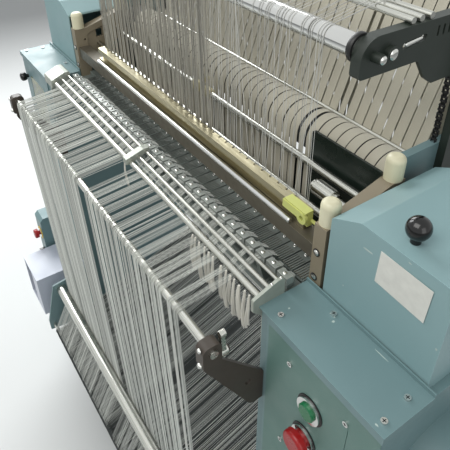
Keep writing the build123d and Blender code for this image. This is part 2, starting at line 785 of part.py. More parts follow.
with BuildPart() as tape_guide_rod:
    rod_x(left_in, right_in, *tape_rod)
finish(tape_guide_rod, "tape_rod")

# Overhead frames: a side plate with a folded edge, on an upright bolted to each side frame
overhead_in = right_in + 7
overhead_top = table_height + overhead_height
overhead_foot = overhead_top - 46
overhead_outline = [
    (-22, overhead_foot),
    (74, overhead_foot),
    (93, overhead_foot - 27),
    (108, overhead_foot - 37),
    (overhead_back_y, overhead_foot - 37),
    (overhead_back_y, overhead_top),
    (-22, overhead_top),
]
overhead_corners = [
    (-22, overhead_foot, 6),
    (74, overhead_foot, 6),
    (93, overhead_foot - 27, 12),
    (-22, overhead_top, 26),
]
fold = 3.0
fold_inside = [
    (-22 + fold, overhead_foot - 40),
    (overhead_back_y, overhead_foot - 40),
    (overhead_back_y, overhead_top - fold),
    (-22 + fold, overhead_top - fold),
]
with BuildPart() as overhead_frames:
    rounded_plate(overhead_outline, overhead_corners, overhead_in - 9, overhead_in)
    rounded_plate(
        fold_inside, [(-22 + fold, overhead_top - fold, 26 - fold)],
        overhead_in - 9, overhead_in, mode=Mode.SUBTRACT,
    )
    rounded_plate(overhead_outline, overhead_corners, overhead_in, shell_in)
    slab(shell_in, shell_in + 12, 158, 198, deck_z, overhead_top)
    slot_x(overhead_in, shell_in, 62, overhead_top - 20, 40, 8, turn=6)
    for y in (100.5, 110.5, 120.5):
        slot_x(overhead_in, shell_in, y, overhead_top - 16, 14, 3.5, turn=90)
    rod_x(shell_in, shell_in + 6, 21, overhead_top - 23, 9)
    rod_x(shell_in, shell_in + 12, -2, overhead_top - 22, 6)
    rod_x(overhead_in, shell_in, upper_y, upper_z, journal + bore_gap, mode=Mode.SUBTRACT)
    mirror(about=end_plane)
finish(overhead_frames, "overhead_frames")

with BuildPart() as tube:
    rod_x(left_in + 2, right_in - 2, *overhead_tube)
finish(tube, "overhead_tube")

with BuildPart() as overhead_rods:
    for y in (56, 70, 87):
        rod_x(left_in - 10, right_in + 10, y, overhead_top + 4 + seat, 4)
finish(overhead_rods, "overhead_rods")

# Main shaft with its eccentrics and pulley, and the motor that drives it
pulley_radius = 45.0
motor_pulley_radius = 22.0
pulley_x = (right_out + 9, right_out + 31)
with BuildPart() as shaft:
    rod_x(left_out + 60, pulley_x[1] + 4, *main_shaft)
    rod_x(*pulley_x, main_shaft[0], main_shaft[1], pulley_radius)
    for i in range(3):
        turn = radians(120 * i)
        x = right_in + 50 + 45 * i
        shift_y = 9 * cos(turn)
        shift_z = 9 * sin(turn)
        rod_x(x, x + 16, main_shaft[0] + shift_y, main_shaft[1] + shift_z, 30)
        rod_x(2 * middle_x - x - 16, 2 * middle_x - x, main_shaft[0] - shift_y, main_shaft[1] - shift_z, 30)
finish(shaft, "main_shaft")

motor_x = (right_in + 45, right_out - 30)
motor_radius = 68.0
with BuildPart() as drive_motor:
    rod_x(*motor_x, motor_shaft[0], motor_shaft[1], motor_radius)
    slab(
        motor_x[0] + 15, motor_x[1] - 15, motor_shaft[0] - 50, motor_shaft[0] + 50,
        housing_floor + sheet, motor_shaft[1] - 40,
    )
    rod_x(motor_x[1] - 20, motor_x[1], motor_shaft[0], motor_shaft[1], motor_shaft[2] + bore_gap, mode=Mode.SUBTRACT)
finish(drive_motor, "drive_motor")

with BuildPart() as motor_pulley:
    rod_x(motor_x[1] - 19, pulley_x[1] + 4, *motor_shaft)
    rod_x(*pulley_x, motor_shaft[0], motor_shaft[1], motor_pulley_radius)
finish(motor_pulley, "motor_pulley")

belt_thickness = 5.0


def belt_loop(grow, mode=Mode.ADD):
    """Both pulleys wrapped by one outline, filled and extruded to the belt's width."""
    with BuildSketch(Plane.YZ.offset(pulley_x[0] + 3)) as loop:
        with Locations(main_shaft[:2]):
            Circle(pulley_radius + grow)
        with Locations(motor_shaft[:2]):
            Circle(motor_pulley_radius + grow)
        make_hull()
    extrude(loop.sketch, amount=16, mode=mode)


with BuildPart() as drive_belt:
    belt_loop(seat + belt_thickness)
    belt_loop(seat, mode=Mode.SUBTRACT)
finish(drive_belt, "drive_belt")

# Junction box on the left panel, open at the front beside its door
junction_right = left_in - 24
junction_left = junction_right - 120
junction_front = bracket_front + 3
with BuildPart() as junction_box:
    slab(junction_left, junction_right, junction_front, panel_y, 260, 400)
    slab(junction_left + 2, junction_right - 2, junction_front + 2, panel_y - 2, 262, 398, mode=Mode.SUBTRACT)
    slab(junction_left + 2, junction_left + 66, junction_front, junction_front + 2, 262, 390, mode=Mode.SUBTRACT)
finish(junction_box, "junction_box")

# Button box beside it, with a push button and a turning knob
box_right = left_out + 52
with BuildPart() as button_box:
    slab(left_out, box_right, box_front, panel_y, 330, 500)
    rod_y(box_front, box_front + 24, *side_button_at, 7 + bore_gap, mode=Mode.SUBTRACT)
    rod_y(box_front, box_front + 14, *side_knob_at, 5 + bore_gap, mode=Mode.SUBTRACT)
    chamfer(button_box.faces().sort_by(Axis.Z)[-1].edges().sort_by(Axis.Y)[0], length=10)
finish(button_box, "button_box")

with BuildPart() as side_button:
    rod_y(box_front - 20, box_front - 8, *side_button_at, 14)
    fillet(side_button.faces().sort_by(Axis.Y)[0].edges(), radius=4)
    rod_y(box_front - 8, box_front + 18, *side_button_at, 7)
finish(side_button, "side_button")

with BuildPart() as side_knob:
    rod_y(box_front - 6, box_front - seat, *side_knob_at, 11)
    slab(
        side_knob_at[0] - 4, side_knob_at[0] + 4, box_front - 16, box_front - 6,
        side_knob_at[1] - 11, side_knob_at[1] + 11,
    )
    rod_y(box_front - seat, box_front + 13, *side_knob_at, 5)
finish(side_knob, "side_knob")

# Levelling feet under the side frames and housings
foot_spots = [(right_in + 6, 60.0), (right_out - 30, housing_floor)]
with BuildPart() as levelling_feet:
    for x, top in foot_spots:
        for y in (front_y + 38, rear_y - 45):
            rod_z(0, 12, x, y, 24)
            rod_z(12, top, x, y, 8)
    mirror(about=end_plane)
finish(levelling_feet, "levelling_feet")

# Warp threads: sheets from the rear rod round the lower bars, up to the front bar and in under the warp rods
thread_sheet = 1.6
thread_x = (-370.0, 325.0)
gap = seat + thread_sheet / 2
curtain_top = (front_bar[0] - front_bar[2] - gap, front_bar[1] - 2)
curtain_foot = (lower_bar[0] + lower_bar[2] + gap + 0.3, lower_bar[1] - 2)
rod_front = (bottom_rod[0] - bottom_rod[2] - gap - 1, bottom_rod[1])
rod_under = (bottom_rod[0], bottom_rod[1] - bottom_rod[2] - gap - 0.5)
rear_under = (rear_rod[0] + 2, rear_rod[1] - rear_rod[2] - gap)
bar_over = (front_bar[0] + 1.5, front_bar[1] + front_bar[2] + gap - 0.2)
with BuildPart() as warp_threads:
    ribbon([curtain_top, curtain_foot], thread_sheet, *thread_x)
    ribbon([(curtain_foot[0] + 0.2, curtain_foot[1] - 5), rod_front], thread_sheet, *thread_x)
    ribbon([rod_under, rear_under], thread_sheet, *thread_x)
    ribbon(
        [bar_over, (thick_rod[0] + 1, thick_rod[1] - 6.8), (thin_rod[0] - 0.5, thin_rod[1] - 4.5)],
        thread_sheet,
        *thread_x,
    )
finish(warp_threads, "warp_threads")

# Weft threads: a curtain that hangs from the overhead tube to just above the weft track
weft_low = (-28.0, track_top + lift_travel + 7)
weft_high = (overhead_tube[0] - overhead_tube[2] - gap, overhead_tube[1])
with BuildPart() as weft_threads:
    ribbon([weft_low, weft_high], thread_sheet, -330, 345)
finish(weft_threads, "weft_threads")

# Knitted tapes: from the needles down round the take-down roller, up over the tape roller, under the tape rod
# and over the upper roller
tape_line = [(-8.5, table_height - 1.5), (12, table_height - 2), (28, bed_top - 1)]
tape_line += wrap(take_down[0], take_down[1], take_down[2] + tape_offset + 0.1, 180, 360, 4)
tape_line += wrap(tape_roller[0], tape_roller[1], tape_roller[2] + tape_offset + 0.1, 180, 46, 5)
tape_line += wrap(tape_rod[0], tape_rod[1], tape_rod[2] + tape_offset + 0.1, 226, 340, 3)
tape_line += wrap(upper_y, upper_z, upper_radius + tape_offset + 0.1, 160, 0, 5)
tape_line += [(upper_y + upper_radius + tape_offset + 0.1, upper_z - 60)]
tape_xs = [(i - (tape_count - 1) / 2) * tape_pitch for i in range(tape_count)]
with BuildPart() as one_tape:
    ribbon(tape_line, tape_thickness, -tape_width / 2, tape_width / 2)
with BuildPart() as knitted_tapes:
    with Locations(*[(x, 0, 0) for x in tape_xs]):
        add(one_tape.part)
finish(knitted_tapes, "knitted_tapes")
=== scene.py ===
"""Looks for the crochet knitting machine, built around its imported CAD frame.

Sizes and places are millimetres in the machine's own frame: X runs towards the end with the push
buttons, Y runs to the back and Z is up. solid() turns them into metres. Yarns, tapes and small fittings
are pieces of their own that ride on a CAD body.
"""

import json
import random
from math import ceil, cos, hypot, pi, radians, sin

import bpy
from mathutils import Matrix, Vector


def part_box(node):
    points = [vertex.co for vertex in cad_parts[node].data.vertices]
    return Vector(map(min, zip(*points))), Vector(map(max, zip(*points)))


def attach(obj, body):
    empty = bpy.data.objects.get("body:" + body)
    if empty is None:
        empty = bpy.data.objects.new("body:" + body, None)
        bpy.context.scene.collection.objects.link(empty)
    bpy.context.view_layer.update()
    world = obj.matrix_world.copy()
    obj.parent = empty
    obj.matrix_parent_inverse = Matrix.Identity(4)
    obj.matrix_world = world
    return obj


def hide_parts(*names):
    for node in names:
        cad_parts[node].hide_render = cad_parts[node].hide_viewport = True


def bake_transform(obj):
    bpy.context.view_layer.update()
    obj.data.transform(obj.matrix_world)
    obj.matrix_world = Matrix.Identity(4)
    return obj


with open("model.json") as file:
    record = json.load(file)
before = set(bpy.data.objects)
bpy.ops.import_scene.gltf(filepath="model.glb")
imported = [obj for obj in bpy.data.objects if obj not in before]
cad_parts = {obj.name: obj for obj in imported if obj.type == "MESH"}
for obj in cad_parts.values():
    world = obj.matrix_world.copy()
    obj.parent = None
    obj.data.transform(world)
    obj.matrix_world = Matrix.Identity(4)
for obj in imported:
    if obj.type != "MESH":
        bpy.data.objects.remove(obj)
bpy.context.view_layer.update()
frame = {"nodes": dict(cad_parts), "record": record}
nodes = frame["nodes"]
MM = 0.001
UP = (0, 0, 1)
FORWARD = (0, -1, 0)
SIDES = (1, -1)  # right and left end


# Places read from the CAD frame
def extent(node):
    """The low and high corners of a CAD node."""
    low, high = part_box(node)
    return low / MM, high / MM


def round_bar(node):
    """Y, Z and the radius of one round bar along X."""
    low, high = extent(node)
    return (low.y + high.y) / 2, (low.z + high.z) / 2, (high.z - low.z) / 2


def mirrored(x, side):
    """The same X for side 1, and its mirror image at the other end of the machine for side -1."""
    return middle_x + side * (x - middle_x)


front_bar = round_bar("front_guide_bar")
lower_bar = round_bar("lower_guide_bar")
overhead_tube = round_bar("overhead_tube")
tape_roller = round_bar("tape_roller")
take_down = round_bar("take_down_roller")
upper_roller = round_bar("upper_roller")
tape_rod = round_bar("tape_rod")

# Inner faces of the side frames, and the top of the lids under their lip
ROD_END_GAP = 5
TUBE_END_GAP = 2
LIP_HEIGHT = 6
right_in = extent("warp_rods")[1].x + ROD_END_GAP
left_in = extent("overhead_tube")[0].x - TUBE_END_GAP
middle_x = (left_in + right_in) / 2
table_z = extent("lids")[1].z - LIP_HEIGHT

# Units: one guide block and one comb plate each
UNITS = 32
unit_pitch = 2 * right_in / UNITS
unit_xs = [-right_in + (i + 0.5) * unit_pitch for i in range(UNITS)]

# Rods that share a CAD node: Y, Z and the radius of each
thick_rod = (-128.0, table_z + 8, 5.0)
middle_rod = (-112.5, table_z + 14.5, 3.5)
thin_rod = (-98.0, table_z + 20, 2.75)
bottom_rod = (-262.0, 273.0, 5.0)
rear_rod = (190.0, 450.0, 8.0)
rear_overhead_rod = (87.0, table_z + 339.3, 4.0)
front_overhead_rod = (56.0, table_z + 339.3, 4.0)


# Meshes
def new_shape():
    """A shape is a pair of lists: points in millimetres, and faces."""
    return [], []


def ring(shape, centre, side, up, radius, count):
    """Lays down one ring of points."""
    for k in range(count):
        turn = 2 * pi * k / count
        shape[0].append(centre + (side * cos(turn) + up * sin(turn)) * radius)


def ring_faces(shape, base, rings, count):
    """Joins rings of points, laid down one after the other from base, by quads, and closes both ends."""
    faces = shape[1]
    for i in range(rings - 1):
        for k in range(count):
            a = base + i * count + k
            b = base + i * count + (k + 1) % count
            faces.append((a, b, b + count, a + count))
    faces.append(tuple(base + k for k in reversed(range(count))))
    last = base + (rings - 1) * count
    faces.append(tuple(last + k for k in range(count)))


def sweep(shape, path, radius, sides=4):
    """A round strand that follows a path."""
    points = [Vector(p) for p in path]
    base = len(shape[0])
    side = None
    for i, point in enumerate(points):
        ahead = (points[min(i + 1, len(points) - 1)] - points[max(i - 1, 0)]).normalized()
        side = ahead.orthogonal() if side is None else side - ahead * side.dot(ahead)
        side.normalize()
        ring(shape, point, side, ahead.cross(side), radius, sides)
    ring_faces(shape, base, len(points), sides)


def turned(shape, start, axis, profile, sides):
    """A turned form: profile holds (distance along the axis, radius)."""
    axis = Vector(axis).normalized()
    side = axis.orthogonal().normalized()
    up = axis.cross(side)
    base = len(shape[0])
    for along, radius in profile:
        ring(shape, Vector(start) + axis * along, side, up, radius, sides)
    ring_faces(shape, base, len(profile), sides)


def prism(shape, outline, place, thickness):
    """A plate: outline holds 2D points, place(u, v, w) gives the 3D point at height w."""
    base = len(shape[0])
    for w in (0, thickness):
        shape[0].extend(Vector(place(u, v, w)) for u, v in outline)
    ring_faces(shape, base, 2, len(outline))


def block(shape, low, high):
    """A box between two corners."""
    outline = [(low[0], low[1]), (high[0], low[1]), (high[0], high[1]), (low[0], high[1])]
    prism(shape, outline, lambda u, v, w: (u, v, low[2] + w), high[2] - low[2])


def solid(name, shape, material, body=None, smooth=True, bevel=0.0):
    """Turns a shape into a piece that rides on a body."""
    mesh = bpy.data.meshes.new(name)
    mesh.from_pydata([point * MM for point in shape[0]], [], shape[1])
    mesh.materials.append(material)
    mesh.update()
    piece = bpy.data.objects.new(name, mesh)
    bpy.context.scene.collection.objects.link(piece)
    if smooth:
        mesh.shade_smooth()
    if bevel:
        rounding = piece.modifiers.new("rounding", "BEVEL")
        rounding.width = bevel * MM
        rounding.segments = 2
        rounding.limit_method = "ANGLE"
        rounding.harden_normals = True
    elif smooth:
        mesh.set_sharp_from_angle(angle=radians(40))
    if body:
        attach(piece, body)
    return piece


def arc(y, z, radius, start, stop, step):
    """Points round a circle in Y and Z, between two angles measured from the back."""
    count = max(2, ceil(abs(stop - start) / step))
    angles = [radians(start + (stop - start) * i / count) for i in range(count + 1)]
    return [(y + radius * cos(a), z + radius * sin(a)) for a in angles]


def wound(route, off):
    """Y and Z of a line that is led over bars, its middle a distance off them.

    The route holds each bar with the first and last angle of contact and the step between points.
    """
    line = []
    for (y, z, radius), start, stop, step in route:
        line += arc(y, z, radius + off, start, stop, step)
    return line


def rounded_outline(x0, x1, z0, z1, radius):
    """A rectangle with round corners, as points."""
    steps = 5
    points = []
    corners = (
        (x1 - radius, z1 - radius, 0), (x0 + radius, z1 - radius, 90),
        (x0 + radius, z0 + radius, 180), (x1 - radius, z0 + radius, 270),
    )
    for x, z, start in corners:
        for i in range(steps + 1):
            turn = radians(start + 90 * i / steps)
            points.append((x + radius * cos(turn), z + radius * sin(turn)))
    return points


# Materials
BANDS_PER_UNIT = 3.18  # bands of a wave texture of scale 1 in one unit of length
WALE_PITCH = 1.9
COURSE_PITCH = 1.4


def new_material(name):
    """A material with its node tree and its shader."""
    material = bpy.data.materials.new(name)
    material.use_nodes = True
    return material, material.node_tree, material.node_tree.nodes["Principled BSDF"]


def noise(tree, scale, detail, stretch=(1, 1, 1)):
    """Noise in the machine's own coordinates."""
    coordinates = tree.nodes.new("ShaderNodeTexCoord")
    mapping = tree.nodes.new("ShaderNodeMapping")
    mapping.inputs["Scale"].default_value = stretch
    texture = tree.nodes.new("ShaderNodeTexNoise")
    texture.inputs["Scale"].default_value = scale
    texture.inputs["Detail"].default_value = detail
    tree.links.new(coordinates.outputs["Object"], mapping.inputs["Vector"])
    tree.links.new(mapping.outputs["Vector"], texture.inputs["Vector"])
    return texture.outputs["Fac"]


def mapped(tree, value, low, high, to_low, to_high):
    """A value carried from one range to another."""
    node = tree.nodes.new("ShaderNodeMapRange")
    for socket, number in zip(node.inputs[1:5], (low, high, to_low, to_high)):
        socket.default_value = number
    tree.links.new(value, node.inputs["Value"])
    return node.outputs["Result"]


def combined(tree, operation, *values):
    """The result of one sum: each value is a socket or a number."""
    node = tree.nodes.new("ShaderNodeMath")
    node.operation = operation
    for socket, value in zip(node.inputs, values):
        if isinstance(value, bpy.types.NodeSocket):
            tree.links.new(value, socket)
        else:
            socket.default_value = value
    return node.outputs["Value"]


def blend_colour(tree, share, first, second):
    """Mixes two colours by a share: each is a socket or a colour."""
    node = tree.nodes.new("ShaderNodeMix")
    node.data_type = "RGBA"
    tree.links.new(share, node.inputs["Factor"])
    for socket, colour in ((node.inputs[6], first), (node.inputs[7], second)):
        if isinstance(colour, bpy.types.NodeSocket):
            tree.links.new(colour, socket)
        else:
            socket.default_value = (*colour, 1)
    return node.outputs[2]


def shade(colour, amount):
    """A colour made lighter or darker."""
    return tuple(min(1.0, channel * amount) for channel in colour)


def linear(colour):
    """A colour as seen on a screen, turned into the shader's own scale."""
    return tuple(c / 12.92 if c < 0.04045 else ((c + 0.055) / 1.055) ** 2.4 for c in colour)


def bump(tree, shader, height, strength, distance):
    """Fine relief of a surface, with its depth in millimetres."""
    node = tree.nodes.new("ShaderNodeBump")
    node.inputs["Strength"].default_value = strength
    node.inputs["Distance"].default_value = distance * MM
    tree.links.new(height, node.inputs["Height"])
    tree.links.new(node.outputs["Normal"], shader.inputs["Normal"])


def edge_share(tree, width):
    """1 on outer edges and 0 on flat faces."""
    soft = tree.nodes.new("ShaderNodeBevel")
    soft.samples = 4
    soft.inputs["Radius"].default_value = width * MM
    geometry = tree.nodes.new("ShaderNodeNewGeometry")
    dot = tree.nodes.new("ShaderNodeVectorMath")
    dot.operation = "DOT_PRODUCT"
    tree.links.new(soft.outputs["Normal"], dot.inputs[0])
    tree.links.new(geometry.outputs["Normal"], dot.inputs[1])
    return mapped(tree, dot.outputs["Value"], 0.70, 0.97, 1.0, 0.0)


def rubbed(tree, width, wear, toned, bare):
    """A colour that gives way to another along its outer edges."""
    return blend_colour(tree, mapped(tree, edge_share(tree, width), 0, 1, 0, wear), toned, bare)


def uneven_gloss(tree, shader, texture, low, high):
    """Roughness that wanders between two values."""
    tree.links.new(mapped(tree, texture, 0.3, 0.7, low, high), shader.inputs["Roughness"])


def painted(name, colour, roughness=0.42, wear=0.5):
    """Sprayed enamel: slightly cloudy, orange-peel bumps, and outer edges painted paler: partly worn paint,
    partly a painted highlight along folds.
    """
    material, tree, shader = new_material(name)
    cloud = blend_colour(tree, noise(tree, 4, 3), shade(colour, 0.90), shade(colour, 1.08))
    patches = mapped(tree, noise(tree, 60, 4), 0.35, 0.65, 0.15, wear)
    # Paler outer edges: worn paint in patches, and also a painted highlight along folds and edges
    worn_edges_and_highlight = combined(tree, "MULTIPLY", edge_share(tree, 1.6), patches)
    tree.links.new(blend_colour(tree, worn_edges_and_highlight, cloud, shade(colour, 1.7)), shader.inputs["Base Color"])
    uneven_gloss(tree, shader, noise(tree, 22, 4), roughness - 0.06, roughness + 0.1)
    bump(tree, shader, noise(tree, 420, 2), 0.12, 0.3)
    return material


def metal(name, colour, roughness, grain=(1, 1, 1), wear=0.15, tarnish=0.8):
    """Ground or drawn metal with fine lines along its grain."""
    material, tree, shader = new_material(name)
    shader.inputs["Metallic"].default_value = 1.0
    lines = noise(tree, 260, 3, grain)
    toned = blend_colour(tree, noise(tree, 9, 4), shade(colour, tarnish), colour)
    tree.links.new(rubbed(tree, 0.8, wear, toned, shade(colour, 1.3)), shader.inputs["Base Color"])
    uneven_gloss(tree, shader, lines, roughness * 0.7, roughness * 1.5)
    bump(tree, shader, lines, 0.08, 0.1)
    return material


def cast(name, colour, roughness):
    """Oiled dark iron with a bright rubbed edge."""
    material, tree, shader = new_material(name)
    shader.inputs["Metallic"].default_value = 0.35
    toned = blend_colour(tree, noise(tree, 18, 5), shade(colour, 0.65), shade(colour, 1.25))
    tree.links.new(rubbed(tree, 0.9, 0.6, toned, shade(colour, 3.0)), shader.inputs["Base Color"])
    uneven_gloss(tree, shader, noise(tree, 70, 4), roughness - 0.15, roughness + 0.1)
    bump(tree, shader, noise(tree, 500, 3), 0.2, 0.2)
    return material


def moulded(name, colour, roughness, grain=0.05):
    """Moulded plastic or rubber with faint dust."""
    material, tree, shader = new_material(name)
    dust = mapped(tree, noise(tree, 40, 5), 0.45, 0.8, 0, 0.25)
    tree.links.new(blend_colour(tree, dust, colour, shade(colour, 1.5)), shader.inputs["Base Color"])
    uneven_gloss(tree, shader, noise(tree, 55, 4), roughness * 0.8, roughness * 1.4)
    bump(tree, shader, noise(tree, 700, 2), grain, 0.15)
    return material


def yarn(name, colour, spread):
    """Covered yarn: the shade of each strand comes from its own point attribute."""
    material, tree, shader = new_material(name)
    tone = tree.nodes.new("ShaderNodeAttribute")
    tone.attribute_name = "tone"
    strand = blend_colour(tree, tone.outputs["Fac"], shade(colour, 1 - spread), shade(colour, 1 + spread))
    tree.links.new(strand, shader.inputs["Base Color"])
    shader.inputs["Roughness"].default_value = 0.62
    shader.inputs["Sheen Weight"].default_value = 0.25
    bump(tree, shader, noise(tree, 900, 2), 0.25, 0.2)
    return material


def knitted(name, colour):
    """Tape with wales across and courses along, drawn on the piece's unrolled coordinates in metres."""
    material, tree, shader = new_material(name)
    coordinates = tree.nodes.new("ShaderNodeTexCoord")
    waves = []
    for direction, pitch in (("X", WALE_PITCH), ("Y", COURSE_PITCH)):
        wave = tree.nodes.new("ShaderNodeTexWave")
        wave.bands_direction = direction
        wave.inputs["Scale"].default_value = 1 / (pitch * MM) / BANDS_PER_UNIT
        wave.inputs["Distortion"].default_value = 0.6
        tree.links.new(coordinates.outputs["UV"], wave.inputs["Vector"])
        waves.append(wave.outputs["Fac"])
    wales, courses = waves
    height = combined(tree, "MULTIPLY_ADD", courses, 0.5, wales)
    relief = mapped(tree, height, 0.1, 1.1, 0, 1)
    # Darker where the relief is low: painted shade in the hollows between stitches
    stitches_with_painted_shade = blend_colour(tree, relief, shade(colour, 0.80), shade(colour, 1.06))
    cloud = blend_colour(tree, noise(tree, 7, 3), shade(colour, 0.86), shade(colour, 1.06))
    final = blend_colour(tree, mapped(tree, noise(tree, 3, 1), 0, 1, 0.45, 0.55), stitches_with_painted_shade, cloud)
    tree.links.new(final, shader.inputs["Base Color"])
    shader.inputs["Roughness"].default_value = 0.85
    shader.inputs["Sheen Weight"].default_value = 0.3
    bump(tree, shader, height, 0.5, 0.5)
    return material


def tinted_pane(name):
    """Old tinted plastic: green and yellow stains behind a smooth face."""
    material, tree, shader = new_material(name)
    patches = mapped(tree, noise(tree, 55, 5), 0.42, 0.60, 0, 1)
    stained = blend_colour(tree, patches, linear((0.20, 0.30, 0.17)), linear((0.56, 0.60, 0.33)))
    tree.links.new(stained, shader.inputs["Base Color"])
    shader.inputs["Roughness"].default_value = 0.12
    shader.inputs["Transmission Weight"].default_value = 0.35
    return material


def plain(name, colour, roughness, metallic=0.0):
    """A small fitting's own material, with a little unevenness."""
    material, tree, shader = new_material(name)
    tone = blend_colour(tree, noise(tree, 90, 3), shade(colour, 0.85), shade(colour, 1.1))
    tree.links.new(tone, shader.inputs["Base Color"])
    shader.inputs["Roughness"].default_value = roughness
    shader.inputs["Metallic"].default_value = metallic
    return material


# Each look is a maker, a colour as seen on a screen, and the maker's other values
ALONG_X = (0.03, 1, 1)
SLOT_LOOKS = {
    "frame_paint": (painted, (0.42, 0.52, 0.53)),
    "cover_paint": (painted, (0.44, 0.545, 0.555)),
    # plate_paint: its dark colour stands in for the shade on the overhead plates, and its strong edge wear
    # also paints a highlight on their folds
    "plate_paint": (painted, (0.135, 0.165, 0.14), 0.45, 0.9),
    "green_paint": (painted, (0.085, 0.13, 0.11), 0.3, 0.2),
    "pale_paint": (painted, (0.76, 0.78, 0.83), 0.35),
    "guide_casting": (cast, (0.50, 0.53, 0.51), 0.5),
    "guide_alloy": (cast, (0.60, 0.62, 0.60), 0.42),
    "lift_plate": (painted, (0.55, 0.51, 0.43), 0.5, 0.8),
    "cap_plastic": (moulded, (0.88, 0.86, 0.74), 0.4),
    "bright_steel": (metal, (0.82, 0.82, 0.79), 0.24, ALONG_X),
    "chrome_bar": (metal, (0.88, 0.88, 0.87), 0.12, ALONG_X),
    "dark_steel": (painted, (0.25, 0.22, 0.19), 0.5, 0.5),
    "brass_track": (metal, (0.71, 0.68, 0.57), 0.38, ALONG_X, 0.4, 0.75),
    "slider_paint": (painted, (0.80, 0.82, 0.48), 0.4),
    "roller_rubber": (moulded, (0.13, 0.14, 0.14), 0.55, 0.2),
    "black_plastic": (moulded, (0.04, 0.04, 0.04), 0.16),
    "green_button": (moulded, (0.05, 0.42, 0.25), 0.25),
    "red_button": (moulded, (0.62, 0.06, 0.07), 0.28),
    "motor_paint": (painted, (0.35, 0.40, 0.42)),
    "belt_rubber": (moulded, (0.07, 0.07, 0.07), 0.6, 0.2),
    "foot_steel": (painted, (0.16, 0.16, 0.16), 0.5),
    "warp_yarn": (yarn, (0.79, 0.80, 0.775), 0.45),
    "weft_yarn": (yarn, (0.59, 0.58, 0.54), 0.50),
    "tape_fabric": (knitted, (0.76, 0.74, 0.67)),
}
PIECE_LOOKS = {
    # Paler, bluer hood paint and darker, greener panel paint are lit and shaded copies of the cover paint:
    # painted light on the hoods, painted shade on the front panel
    "hood_paint": (painted, (0.55, 0.67, 0.68)),
    "panel_paint": (painted, (0.375, 0.505, 0.475)),
    "worn_zinc": (plain, (0.66, 0.68, 0.64), 0.42, 0.35),
    "oiled_beam": (cast, (0.40, 0.38, 0.33), 0.45),
    "cream_yarn": (yarn, (0.84, 0.83, 0.79), 0.15),
    "pale_yarn": (yarn, (0.74, 0.74, 0.72), 0.3),
    # Very dark yarn of the tied warp: painted shade
    "dark_yarn": (yarn, (0.12, 0.145, 0.14), 0.4),
    "screw_steel": (metal, (0.86, 0.86, 0.84), 0.18),
    "dark_fitting": (plain, (0.06, 0.06, 0.06), 0.45),
    "cream_fitting": (plain, (0.80, 0.76, 0.58), 0.45),
    "card": (plain, (0.88, 0.88, 0.85), 0.7),
    "pale_chip": (plain, (0.72, 0.78, 0.76), 0.7),
    "yellow_ring": (plain, (0.85, 0.70, 0.12), 0.4),
    # Near-black of the screw recess crosses: painted shade
    "slot_black": (plain, (0.03, 0.03, 0.03), 0.8),
}
materials = {
    name: maker(name, linear(colour), *values)
    for name, (maker, colour, *values) in {**SLOT_LOOKS, **PIECE_LOOKS}.items()
}
materials["window_plastic"] = tinted_pane("window_plastic")

for part in frame["record"]["subparts"]:
    slots = nodes[part["node"]].data.materials
    slots.clear()
    slots.append(materials[part["material_slot"]])
# Own looks of single pieces, with painted light on the hoods and painted shade on the front panel
for node, look in (
    ("rod_end_plates", "worn_zinc"), ("centre_bracket", "worn_zinc"), ("weft_beam", "oiled_beam"),
    ("right_hood", "hood_paint"), ("left_hood", "hood_paint"), ("right_front_panel", "panel_paint"),
):
    nodes[node].data.materials[0] = materials[look]


# Yarns
def add_strand(shape, tones, path, radius, tone, sides=4):
    """Adds a strand to a shape, and its tone to the tones of the points."""
    before = len(shape[0])
    sweep(shape, path, radius, sides)
    tones += [tone] * (len(shape[0]) - before)


def set_tone(piece, tones):
    """Gives each point of a yarn mesh the tone of its strand."""
    attribute = piece.data.attributes.new("tone", "FLOAT", "POINT")
    attribute.data.foreach_set("value", tones)


def strands(name, paths, radius, look, body):
    """Many strands in one piece; each has its own tone."""
    shape = new_shape()
    tones = []
    for path in paths:
        add_strand(shape, tones, path, radius, draw.random())
    piece = solid(name, shape, materials[look], body)
    set_tone(piece, tones)
    return piece


draw = random.Random(11)

# Radius of one strand
WARP = 0.42
WARP_TAIL = 0.55
TIED_WARP = 1.2
WEFT = 0.64
FINE_WEFT = 0.40
LOOSE_END = 0.72

# Warp: from the rear rod under the bottom rod, behind the lower bar, over the front bar and under the
# three warp rods
LEAVING = -72  # angle at which it leaves the thin rod, and its tail begins
WARP_ROUTE = (
    (rear_rod, 100, -102, 34), (bottom_rod, -102, -206, 26), (lower_bar, -27, 1, 15),
    (front_bar, 179, 84, 16), (thick_rod, -82, -72, 15), (middle_rod, -70, -66, 15),
    (thin_rod, -68, LEAVING, 15),
)
TAIL_ROUTE = ((thin_rod, LEAVING, LEAVING, 1),)
TAIL_LINE = ((-90, 15.5), (-80, 13.5), (-69, 11.5), (-58.2, 3.4))  # Y and height over the table
DENSE_UNIT = ((12, 13, 13), (20.5, 23.0))  # numbers of strands, least and most width
LOOSE_UNIT = ((9, 10, 11, 12), (17.5, 21.5))
WARP_SPAN = (-370.0, 325.0)
BARE_SPOTS = ((-20, 10), (212, 219), (280, 296), (-250, -246), (-118, -113), (96, 101), (150, 154))
BELOW_FRONT_BAR = 700  # under this height a strand keeps the place that it has at the bottom rod
AT_FRONT_BAR = -200  # in front of this Y a strand keeps the place that it has on the front bar
GATHERED = 0.85  # share of a unit's width that is left at the guide block

warp_places = []
for unit_x in unit_xs:
    counts, widths = DENSE_UNIT if unit_x < 0 else LOOSE_UNIT
    count = draw.choice(counts)
    width = draw.uniform(*widths)
    for i in range(count):
        x = unit_x + ((i + 0.5) / count - 0.5) * width + draw.uniform(-0.5, 0.5)
        if WARP_SPAN[0] < x < WARP_SPAN[1] and not any(low < x < high for low, high in BARE_SPOTS):
            warp_places.append((x, unit_x))

